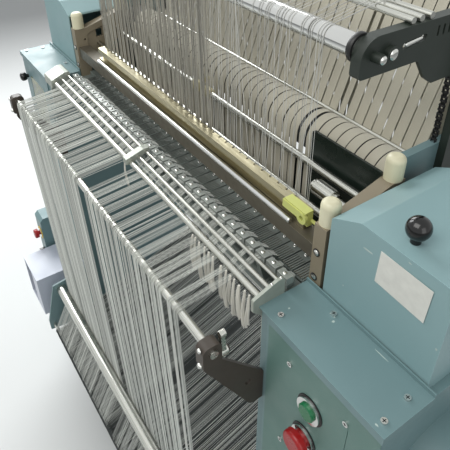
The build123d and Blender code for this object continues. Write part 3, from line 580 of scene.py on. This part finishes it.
warp_paths = []
tail_paths = []
for x, unit_x in warp_places:
    line = wound(WARP_ROUTE, WARP + draw.uniform(0, 0.7))
    low_x = x + draw.uniform(-1.5, 1.5)
    high_x = unit_x + (x - unit_x) * GATHERED
    path = []
    for y, z in line:
        if z < BELOW_FRONT_BAR:
            here = low_x
        elif y < AT_FRONT_BAR:
            here = x
        else:
            here = high_x + (x - high_x) * (thin_rod[0] - y) / (thin_rod[0] - front_bar[0])
        path.append((here, y, z))
    warp_paths.append(path)
    tail = wound(TAIL_ROUTE, WARP + draw.uniform(0, 0.4))[:1]
    tail += [(y, table_z + rise) for y, rise in TAIL_LINE]
    tail_paths.append([(high_x, y, z) for y, z in tail])
warp_yarns = strands("warp_yarns", warp_paths, WARP, "warp_yarn", "machine_frame")
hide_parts("warp_threads")
warp_tails = strands("warp_tails", tail_paths, WARP_TAIL, "warp_yarn", None)
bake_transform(warp_tails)

# A second warp tied to the bottom rod: the dense dark sheet seen low down at the right end; its very dark
# yarn is painted shade under the table
TIED_ROUTE = ((rear_rod, 60, -100, 40), (bottom_rod, -100, -300, 40))
TIED_COUNT = 330
TIED_LEFT = -366
TIED_PITCH = 2.27

tied_paths = []
for i in range(TIED_COUNT):
    x = TIED_LEFT + i * TIED_PITCH + draw.uniform(-0.4, 0.4)
    line = wound(TIED_ROUTE, WARP + draw.uniform(0.8, 1.6))
    tied_paths.append([(x, y, z) for y, z in line])
tied_warp = strands("tied_warp", tied_paths, TIED_WARP, "dark_yarn", "machine_frame")

# Weft: in bunches from the overhead rods, over the tube and down behind the weft beam to the needles
RODS_ROUTE = ((rear_overhead_rod, -100, 88, 32), (front_overhead_rod, 90, 98, 8))
TUBE_ROUTE = ((overhead_tube, 99, 180, 20),)
WEFT_DROP = ((-18.6, 90), (-18.2, 30))  # Y and height over the table, behind the weft beam
WEFT_END = (-18, 3)  # the same, at the needles
BUNCHES = 36
BUNCH_LEFT = -323
BUNCH_PITCH = 18.7
THIN_FROM = 95  # the bunches to the right of this X have only a few fine strands
FULL_COUNTS = (10, 11, 12, 13)
THIN_COUNTS = (2, 3, 3, 4)
FULL_SKEWS = (0,) * 9 + (-1, 1)  # most strands fall straight, and some cross over to a side
THIN_SKEWS = (0,) * 3 + (-1, 1)

weft_paths = []
fine_paths = []
for i in range(BUNCHES):
    bunch_x = BUNCH_LEFT + i * BUNCH_PITCH + draw.uniform(-1.5, 1.5)
    top_width = draw.uniform(14, 18)
    low_width = draw.uniform(11, 15)
    thin = bunch_x > THIN_FROM
    count = draw.choice(THIN_COUNTS if thin else FULL_COUNTS)
    for k in range(count):
        share = (k + 0.5) / count - 0.5
        lift = draw.uniform(0, 0.5)
        off = WEFT + lift
        skew = draw.choice(FULL_SKEWS) * draw.uniform(14, 30)
        if thin:
            skew = draw.choice(THIN_SKEWS) * draw.uniform(4, 34)
        back_x = bunch_x + share * top_width * 1.2 + draw.uniform(-2, 2) + skew
        tube_x = bunch_x + share * top_width + draw.uniform(-0.8, 0.8) + skew
        low_x = bunch_x + share * low_width + draw.uniform(-0.6, 0.6)
        path = [(back_x, y, z) for y, z in wound(RODS_ROUTE, off)]
        path += [(tube_x, y, z) for y, z in wound(TUBE_ROUTE, off)]
        path += [(low_x, y + lift, table_z + rise) for y, rise in WEFT_DROP]
        path.append((bunch_x + share * low_width * 0.8, WEFT_END[0], table_z + WEFT_END[1]))
        (fine_paths if thin else weft_paths).append(path)
weft_yarns = strands("weft_yarns", weft_paths, WEFT, "weft_yarn", "machine_frame")
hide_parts("weft_threads")
fine_weft = strands("fine_weft", fine_paths, FINE_WEFT, "pale_yarn", "machine_frame")

# Knitted tapes: one piece each, from the needles round the rollers to a free end behind the upper one
TAPES = 40
TAPE_MARGIN = 14  # what the tapes leave free of the working width
TAPE_WIDTH = 16.4
NARROW_TAPE = (31, 11.0)  # its number and width
TAPE_THICKNESS = 1.3
TAPE_OFF = TAPE_THICKNESS / 2 + 0.35
TAPE_START = ((-8.5, -1.5), (6, -1.6), (16, -3.6), (24, -9), (28, -17))  # Y and height over the table
TAPE_ROUTE = (
    (take_down, 180, 360, 15), (tape_roller, 180, 46, 10),
    (tape_rod, 226, 340, 15), (upper_roller, 160, 0, 15),
)
ACROSS = 6  # faces across each side of a tape
CURL = 0.5  # how far its edges curl up
EDGE_THICKNESS = 0.55  # share of the thickness that is left at its edges


def tape_line(drop):
    """Y and Z of the middle of a tape, which hangs down behind the upper roller by the drop."""
    line = [(y, table_z + rise) for y, rise in TAPE_START]
    line += wound(TAPE_ROUTE, TAPE_OFF)
    y, z, radius = upper_roller
    line += [(y + radius + TAPE_OFF, z - drop * share) for share in (0.25, 0.5, 0.75, 1)]
    return line


def tape_mesh(name, x, line, width):
    """A closed strip whose edges curl up a little, with its unrolled coordinates as UV, and its length."""
    shape = new_shape()
    uvs = []
    travelled = 0.0
    count = len(line)
    for i, (y, z) in enumerate(line):
        y0, z0 = line[max(i - 1, 0)]
        y1, z1 = line[min(i + 1, count - 1)]
        if i:
            travelled += hypot(y - y0, z - z0)
        scale = 1 / hypot(y1 - y0, z1 - z0)
        out = Vector((0, -(z1 - z0) * scale, (y1 - y0) * scale))
        for face in (1, -1):
            for k in range(ACROSS + 1):
                share = (k / ACROSS - 0.5) * face
                half = TAPE_THICKNESS / 2 * (EDGE_THICKNESS if abs(share) > 0.49 else 1)
                curl = CURL * (2 * share) ** 4
                shape[0].append(Vector((x + share * width, y, z)) + out * (half * face + curl))
                uvs.append((share * width * MM, travelled * MM))
    ring_faces(shape, 0, count, 2 * (ACROSS + 1))
    piece = solid(name, shape, materials["tape_fabric"], "machine_frame")
    layer = piece.data.uv_layers.new(name="unrolled")
    for loop in piece.data.loops:
        layer.data[loop.index].uv = uvs[loop.vertex_index]
    return piece, travelled


tape_pitch = (2 * right_in - TAPE_MARGIN) / TAPES
for i in range(TAPES):
    x = (i - (TAPES - 1) / 2) * tape_pitch + draw.uniform(-0.5, 0.5)
    width = TAPE_WIDTH + draw.uniform(-0.8, 0.6)
    if i == NARROW_TAPE[0]:
        width = NARROW_TAPE[1]
    tape, length = tape_mesh(f"tape_{i:02d}", x, tape_line(draw.uniform(290, 330)), width)
    if i == 0:
        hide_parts("knitted_tapes")

# Green cover behind the weft guides: in front of the tapes at the right end, and behind them elsewhere
COVER_START = 246.0
COVER_CORNER = 8
SET_BACK = 11
cover_low, cover_high = extent("rear_cover")
cover_sheet = cover_high.y - cover_low.y
cover_outline = [(COVER_START, cover_low.z), (cover_high.x, cover_low.z), (cover_high.x, cover_high.z)]
for degrees in range(0, 91, 15):
    turn = radians(degrees)
    cover_outline.append((
        COVER_START + COVER_CORNER - COVER_CORNER * sin(turn),
        cover_high.z - COVER_CORNER + COVER_CORNER * cos(turn),
    ))
cover_shape = new_shape()
prism(cover_shape, cover_outline, lambda u, v, w: (u, cover_high.y - w, v), cover_sheet)
back_y = cover_high.y + SET_BACK
block(
    cover_shape, (cover_low.x, back_y, cover_low.z),
    (COVER_START - 1, back_y + cover_sheet, tape_roller[1] - tape_roller[2] - 4),
)
stepped_cover = solid("stepped_cover", cover_shape, materials["green_paint"], "machine_frame", bevel=0.6)
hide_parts("rear_cover")


# Small fittings
def pan_head(shape, place, axis, radius, height):
    """A low domed screw head or round bolt."""
    profile = [(0, radius), (height * 0.45, radius), (height * 0.85, radius * 0.75), (height, radius * 0.3)]
    turned(shape, place, axis, profile, 14)


def fitting(name, shape, look, body, bevel=0.0):
    """A small piece with its own material."""
    piece = solid(name, shape, materials[look], body, bevel=bevel)


# Needles, and the screws of the comb plates and guide blocks
NEEDLES = range(-2, 3)
NEEDLE_PITCH = 4.0
NEEDLE_RADIUS = 0.5
NEEDLE_LINE = (  # Y and height over the table, round the hook at its end
    (-32, 1.6), (-58.0, 1.6), (-59.7, 2.4), (-59.1, 4.0), (-57.1, 4.2),
)
PLATE_SCREW_Y = -23
BLOCK_SCREW_Y = -82.5

needles = new_shape()
plate_screws = new_shape()
block_screws = new_shape()
for unit_x in unit_xs:
    for i in NEEDLES:
        path = [(unit_x + i * NEEDLE_PITCH, y, table_z + rise) for y, rise in NEEDLE_LINE]
        sweep(needles, path, NEEDLE_RADIUS, 5)
    pan_head(plate_screws, (unit_x, PLATE_SCREW_Y, table_z + 1), UP, 3.2, 1.9)
    pan_head(block_screws, (unit_x, BLOCK_SCREW_Y, table_z + 20), UP, 3.0, 1.9)
fitting("needles", needles, "screw_steel", "needle_carriage")
fitting("plate_screws", plate_screws, "screw_steel", "needle_carriage")
fitting("block_screws", block_screws, "screw_steel", "warp_guides")

# Crossed recesses of the cover screws, drawn as thin black crosses: painted shade in the recesses
CROSS = ((2.6, 0.5), (0.5, 2.6))  # half sizes of its two bars
LID_SCREWS = ((27, -120), (63, -64), (196, -119), (192, -78))  # X from the side frame, and Y
PANEL_SCREWS = ((63, 953), (160, 957), (58, 774), (186, 620))  # X from the side frame, and Z
LID_RECESS = (2.4, 2.6)  # heights over the table
PANEL_RECESS = (-133.1, -132.9)  # Y

recess_shade = new_shape()
for reach, y in LID_SCREWS:
    for side in SIDES:
        x = mirrored(right_in + reach, side)
        for a, b in CROSS:
            low_corner = (x - a, y - b, table_z + LID_RECESS[0])
            block(recess_shade, low_corner, (x + a, y + b, table_z + LID_RECESS[1]))
for reach, z in PANEL_SCREWS:
    x = right_in + reach
    for a, b in CROSS:
        block(recess_shade, (x - a, PANEL_RECESS[0], z - b), (x + a, PANEL_RECESS[1], z + b))
fitting("screw_recess_shade", recess_shade, "slot_black", "machine_frame")

# Bright bolts: rod end plate, bar clamps and overhead plates
CLAMP_BOLTS = ((-34, 4.0, 4), (-6, 3.4, 3))  # height over the table, radius, height of the head
OVERHEAD_BOLTS = ((12, -2, 313, 5.0), (6, 21, 312, 6.5))  # X from the plate's middle, Y, height, radius
OVERHEAD_PIN = [(0, 2.0), (2, 3.0), (26, 3.0), (28, 2.0)]
end_plate_x = right_in - 2.5
clamp_bolt_y = front_bar[0] - 14

frame_bolts = new_shape()
pan_head(frame_bolts, (end_plate_x, -132, table_z + 16), (-0.3, -0.35, 1), 2.4, 1.6)
for y, rise in ((-112, 24.6), (-97, 28)):
    pan_head(frame_bolts, (end_plate_x, y, table_z + rise), UP, 2.2, 1.6)
for x in (right_in + 10, -right_in - 12):
    for rise, radius, height in CLAMP_BOLTS:
        pan_head(frame_bolts, (x, clamp_bolt_y, table_z + rise), FORWARD, radius, height)
for side in SIDES:
    plate_x = mirrored(right_in + 12, side)
    for reach, y, rise, radius in OVERHEAD_BOLTS:
        pan_head(frame_bolts, (plate_x + side * reach, y, table_z + rise), (side, 0, 0), radius, 3)
    turned(frame_bolts, (plate_x - side * 2.5, 48, table_z + 313.5), (0, 1, 0.105), OVERHEAD_PIN, 12)
fitting("frame_bolts", frame_bolts, "screw_steel", "machine_frame")

# Bolts of the lift plates on dark washers
LIFT_BOLTS = ((56, 3), (13, 1.7))  # height over the table, height of the head

lift_bolts = new_shape()
bolt_washers = new_shape()
for side in SIDES:
    x = mirrored(right_in + 9, side)
    for rise, height in LIFT_BOLTS:
        pan_head(lift_bolts, (x, -50, table_z + rise), FORWARD, 4.2, height)
        turned(bolt_washers, (x, -50.1, table_z + rise), FORWARD, [(0, 5.8), (0.8, 5.8)], 20)
fitting("lift_bolts", lift_bolts, "screw_steel", "weft_lift")
fitting("bolt_washers", bolt_washers, "dark_fitting", "weft_lift")

# Collars at the ends of the overhead tube
COLLAR = [(0, 14.2), (0, 16.5), (1, 17.2), (6, 17.2), (7, 16.5), (7, 14.2)]

collars = new_shape()
for side in SIDES:
    x = mirrored(right_in - 2, side)
    turned(collars, (x, overhead_tube[0], overhead_tube[1]), (-side, 0, 0), COLLAR, 32)
fitting("tube_collars", collars, "dark_fitting", "machine_frame")

# Small clamp with a lever on the rear tie rod
TIE_SLEEVE = [
    (0, 7), (0, 8.5), (1.5, 10), (18, 10), (19, 8), (42, 8), (43, 10), (59, 10), (60.5, 8.5), (60.5, 7),
]
TIE_LEVER = [(-54, 6), (-43, 5), (-8, 36), (-11, 40), (-16, 39)]  # X, and height over the rod
tie_y, tie_z = 52.0, table_z + 82

tie_clamp = new_shape()
turned(tie_clamp, (-74, tie_y, tie_z), (1, 0, 0), TIE_SLEEVE, 20)
prism(tie_clamp, TIE_LEVER, lambda u, v, w: (u, tie_y - 9 + w, tie_z + v), 4)
fitting("tie_rod_clamp", tie_clamp, "cream_fitting", "weft_lift", bevel=0.8)

# Window pane and knobs of the left door
DOOR_KNOB = [(0, 5), (4, 5), (6, 9), (10, 11), (16, 11), (19, 9.5), (21, 6)]
left_out = extent("left_housing")[0].x

pane = new_shape()
pane_outline = rounded_outline(left_out + 40.2, left_out + 145.8, table_z - 189.8, table_z - 52.2, 13.8)
prism(pane, pane_outline, lambda u, v, w: (u, -128.4 - w, v), 1.6)
fitting("window_pane", pane, "window_plastic", "machine_frame")
door_knobs = new_shape()
for z in (table_z - 62, table_z - 176):
    turned(door_knobs, (left_out + 20, -130.5, z), FORWARD, DOOR_KNOB, 24)
fitting("door_knobs", door_knobs, "black_plastic", "machine_frame")

# Bare card on the right hood, a little lifted at its right edge
CARD_CORNERS = [(483, 1086), (552, 1083), (553.5, 1131), (484, 1132)]
CARD_LIFT = (530, 23, 0.8)  # X where it starts, over what width, how far
hood_front = extent("right_hood")[0].y


def card_place(u, v, w):
    """A point of the card, in front of the hood."""
    start, width, height = CARD_LIFT
    return u, hood_front - 0.15 - w - height * max(0, u - start) / width, v


blank_card = new_shape()
prism(blank_card, CARD_CORNERS, card_place, 0.5)
fitting("blank_card", blank_card, "card", "right_hood")


# Chips and scuffs of bare primer, thin flakes on the covers
def flake(shape, centre, reach, place):
    """A ragged little patch."""
    points = 9
    outline = []
    for i in range(points):
        turn = 2 * pi * i / points
        far = draw.uniform(0.55, 1.0)
        outline.append((centre[0] + reach[0] * far * cos(turn), centre[1] + reach[1] * far * sin(turn)))
    prism(shape, outline, place, 0.08)


# Middle and reach of each chip
HOOD_CHIPS = (
    ((466, 1119), (8, 1.4)), ((573, 1062), (1.6, 2.4)), ((440, 1040), (1.2, 1.8)),
    ((520, 1143), (3, 1)),
)
COVER_CHIPS = (
    ((444, -66), (6, 1.4)), ((452, -72), (2, 3)), ((575, -128), (3, 1.5)), ((405, -104), (1.5, 2)),
    ((520, -60), (14, 0.8)),
)

hood_chips = new_shape()
for centre, reach in HOOD_CHIPS:
    flake(hood_chips, centre, reach, lambda u, v, w: (u, hood_front - w, v))
fitting("hood_chips", hood_chips, "pale_chip", "right_hood")
cover_chips = new_shape()
for centre, reach in COVER_CHIPS:
    flake(cover_chips, centre, reach, lambda u, v, w: (u, v, table_z + w))
fitting("cover_chips", cover_chips, "pale_chip", "machine_frame")

# Rings behind the buttons
BUTTON_PLACES = ((105, 91), (101, 158))  # X from the side frame, and depth under the table
GASKET = [(0, 19.8), (0, 22), (1.2, 22), (1.6, 21), (1.6, 19.8)]
BOX_RING = [(0, 15.3), (0, 20), (1.2, 20), (1.8, 19), (1.8, 15.3)]

gaskets = new_shape()
for reach, drop in BUTTON_PLACES:
    turned(gaskets, (right_in + reach, -130.5, table_z - drop), FORWARD, GASKET, 32)
fitting("button_gaskets", gaskets, "dark_fitting", "machine_frame")
low, high = extent("side_button")
box_ring = new_shape()
turned(box_ring, ((low.x + high.x) / 2, -200, (low.z + high.z) / 2), FORWARD, BOX_RING, 32)
fitting("side_button_ring", box_ring, "yellow_ring", "machine_frame")

# Chain that hangs in front of the right upright
LINKS = 26
LINK_PITCH = 6.35
CHAIN_ROLLER = [(0, 1.5), (0.3, 2.0), (8.7, 2.0), (9, 1.5)]
LINK_PLATE = 0.9
WIDE_LINK = 3.4  # outer faces of its plates, from the chain's middle
NARROW_LINK = 2.2
chain_x = right_in + 6

chain = new_shape()
for i in range(LINKS):
    y = 153.0 + 0.5 * sin(i)
    z = table_z + 262 - i * LINK_PITCH
    turned(chain, (chain_x - 4.5, y, z), (1, 0, 0), CHAIN_ROLLER, 8)
    half = WIDE_LINK if i % 2 else NARROW_LINK
    for x in (chain_x - half, chain_x + half - LINK_PLATE):
        block(chain, (x, y - 2.3, z - 7.0), (x + LINK_PLATE, y + 2.3, z + 0.8))
fitting("drive_chain", chain, "dark_fitting", "machine_frame")

# Loose yarn ends that hang from the thick rod, and the strap under the middle bracket
TUFT_ENDS = 22
TUFT_POINTS = 9
TUFTS = (  # X and radius
    (222, 3.2), (231, 2.6), (243, 3.6), (256, 2.4), (268, 3.4), (277, 2.8), (300, 3.8), (309, 3.0),
    (321, 4.2), (331, 3.2), (343, 4.4), (353, 3.4), (364, 3.0),
)


def hanging_tuft(name, x, length, radius):
    """A free bunch of yarn ends, gathered at its knot, that hangs from the thick rod."""
    y = thick_rod[0] - thick_rod[2] - radius - 0.4
    top = thick_rod[1] - 1
    lean = draw.uniform(-4, 4)
    shares = [i / (TUFT_POINTS - 1) for i in range(TUFT_POINTS)]
    path = []
    for share in shares:
        sway = lean * share + 1.2 * sin(5 * share + x)
        path.append((x + sway, y - 2.5 * sin(pi * share), top - length * share))
    points = [Vector(p) for p in path]
    shape = new_shape()
    tones = []
    for k in range(TUFT_ENDS):
        around = 2 * pi * (k * 0.382 + draw.uniform(0, 0.1))
        away = radius * (0.2 + 0.8 * (k + 0.5) / TUFT_ENDS)
        reach = 1 if k % 2 else draw.uniform(0.86, 0.97)
        end = []
        for share, point in zip(shares, points):
            spread = away * (0.35 + share ** 0.8)
            centre = points[0] + (point - points[0]) * reach
            end.append(centre + Vector((cos(around) * spread, sin(around) * spread * 0.7, 0)))
        add_strand(shape, tones, end, LOOSE_END, draw.uniform(0.2, 1.0), 5)
    piece = solid(name, shape, materials["cream_yarn"], "machine_frame")
    set_tone(piece, tones)


for i, (x, radius) in enumerate(TUFTS):
    hanging_tuft(f"loose_end_{i:02d}", x, draw.uniform(56, 74), radius)
hanging_tuft("strap", -8, 50, 2.0)


# Floor, light and camera
def soft_world():
    """Even studio light; a pale backdrop is seen directly, in reflections and through glass."""
    world = bpy.data.worlds.new("studio")
    bpy.context.scene.world = world
    world.use_nodes = True
    tree = world.node_tree
    tree.nodes.clear()
    lighting = tree.nodes.new("ShaderNodeBackground")
    lighting.inputs["Color"].default_value = (0.93, 0.97, 1.0, 1)
    lighting.inputs["Strength"].default_value = 0.33
    backdrop = tree.nodes.new("ShaderNodeBackground")
    backdrop.inputs["Color"].default_value = (0.90, 0.92, 0.92, 1)
    backdrop.inputs["Strength"].default_value = 1.0
    rays = tree.nodes.new("ShaderNodeLightPath")
    seen = rays.outputs["Is Camera Ray"]
    for ray in ("Is Glossy Ray", "Is Transmission Ray"):
        seen = combined(tree, "MAXIMUM", seen, rays.outputs[ray])
    mix = tree.nodes.new("ShaderNodeMixShader")
    output = tree.nodes.new("ShaderNodeOutputWorld")
    tree.links.new(seen, mix.inputs["Fac"])
    tree.links.new(lighting.outputs["Background"], mix.inputs[1])
    tree.links.new(backdrop.outputs["Background"], mix.inputs[2])
    tree.links.new(mix.outputs["Shader"], output.inputs["Surface"])


def softbox(name, place, target, size, power, colour=(1, 1, 1)):
    """A rectangular lamp that faces a target."""
    data = bpy.data.lights.new(name, "AREA")
    data.shape = "RECTANGLE"
    data.size, data.size_y = size
    data.energy = power
    data.color = colour
    lamp = bpy.data.objects.new(name, data)
    lamp.location = Vector(place)
    lamp.rotation_euler = (Vector(target) - lamp.location).to_track_quat("-Z", "Y").to_euler()
    bpy.context.scene.collection.objects.link(lamp)


soft_world()
softbox("window_left", (-2.5, 0.4, 2.4), (-0.1, 0, 0.9), (2.4, 1.6), 104, (0.97, 0.99, 1.0))
softbox("ceiling", (0.3, -1.5, 3.0), (0, 0, 0.9), (2.0, 1.4), 34, (1.0, 0.99, 0.96))
softbox("right_fill", (2.4, -0.4, 1.8), (0.2, 0, 0.8), (1.2, 1.6), 8)

FLOOR_REACH = 9000
FLOOR_BOTTOM = -12
FLOOR_TOP = -0.5
floor_material, floor_tree, floor_shader = new_material("floor")
floor_shader.inputs["Roughness"].default_value = 0.8
floor_tone = blend_colour(floor_tree, noise(floor_tree, 1.5, 2), (0.70, 0.71, 0.70), (0.74, 0.75, 0.74))
floor_tree.links.new(floor_tone, floor_shader.inputs["Base Color"])
floor_shape = new_shape()
block(
    floor_shape, (-FLOOR_REACH, -FLOOR_REACH, FLOOR_BOTTOM), (FLOOR_REACH, FLOOR_REACH, FLOOR_TOP),
)
floor = solid("floor", floor_shape, floor_material, smooth=False)

# The camera's place in metres, and the directions of its picture's right and upper edge
CAMERA_PLACE = (0.7479, -0.430, 1.543)
VIEW_RIGHT = Vector((0.5607, 0.8280, -0.0071))
VIEW_UP = Vector((-0.4596, 0.3184, 0.8291))
camera_data = bpy.data.cameras.new("camera")
camera_data.lens = 43.4
camera_data.sensor_width = 36.0
camera_data.shift_y = -0.1444
camera_data.clip_start = 0.02
camera = bpy.data.objects.new("camera", camera_data)
axes = Matrix((VIEW_RIGHT, VIEW_UP, VIEW_RIGHT.cross(VIEW_UP)))
camera.matrix_world = Matrix.Translation(CAMERA_PLACE) @ axes.transposed().to_4x4()
bpy.context.scene.collection.objects.link(camera)
bpy.context.scene.camera = camera
bpy.context.scene.view_settings.view_transform = "Standard"
